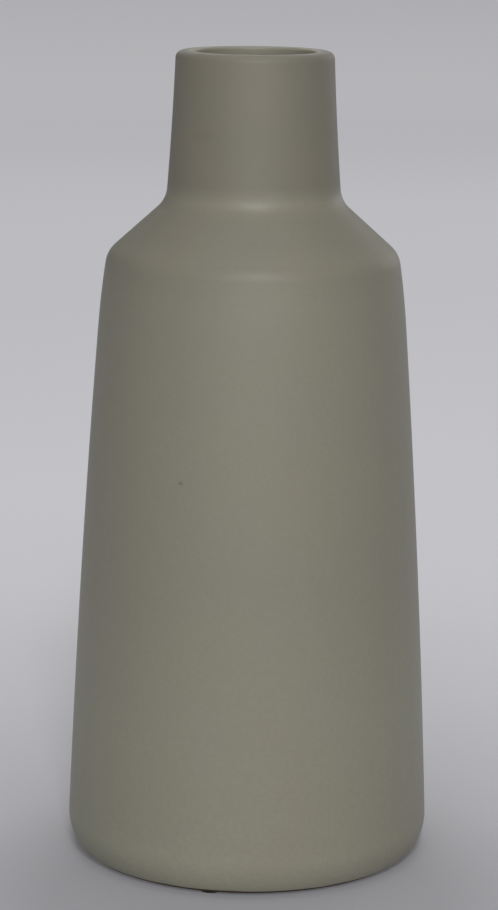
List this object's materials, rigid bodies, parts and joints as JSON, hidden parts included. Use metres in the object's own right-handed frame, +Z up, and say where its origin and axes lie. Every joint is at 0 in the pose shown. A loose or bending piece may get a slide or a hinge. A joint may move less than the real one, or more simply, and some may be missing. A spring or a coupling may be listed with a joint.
{
  "type": "bottle vase",
  "caption": "Tall bottle vase in satin sage-grey stoneware: tapering bowed body, sloping shoulder, narrow neck with a thick rounded lip, recessed base on felt pads.",
  "frame": {"origin": "centre of the circle of pads, on the table that they stand on", "axes": "+Z up the axis of the vase, from foot to mouth; -Y towards the camera of the picture, +X to its right"},
  "size_m": [0.1364, 0.1364, 0.301],
  "materials": {
    "stoneware": "matte",
    "satin_glaze": "satin",
    "liner_glaze": "gloss",
    "felt": "matte"
  },
  "bodies": {
    "root": {"clay_body": "stoneware", "outer_glaze": "satin_glaze", "inner_glaze": "liner_glaze", "base_glaze": "satin_glaze", "felt_pad_1": "felt", "felt_pad_2": "felt", "felt_pad_3": "felt"}
  },
  "joints": []
}
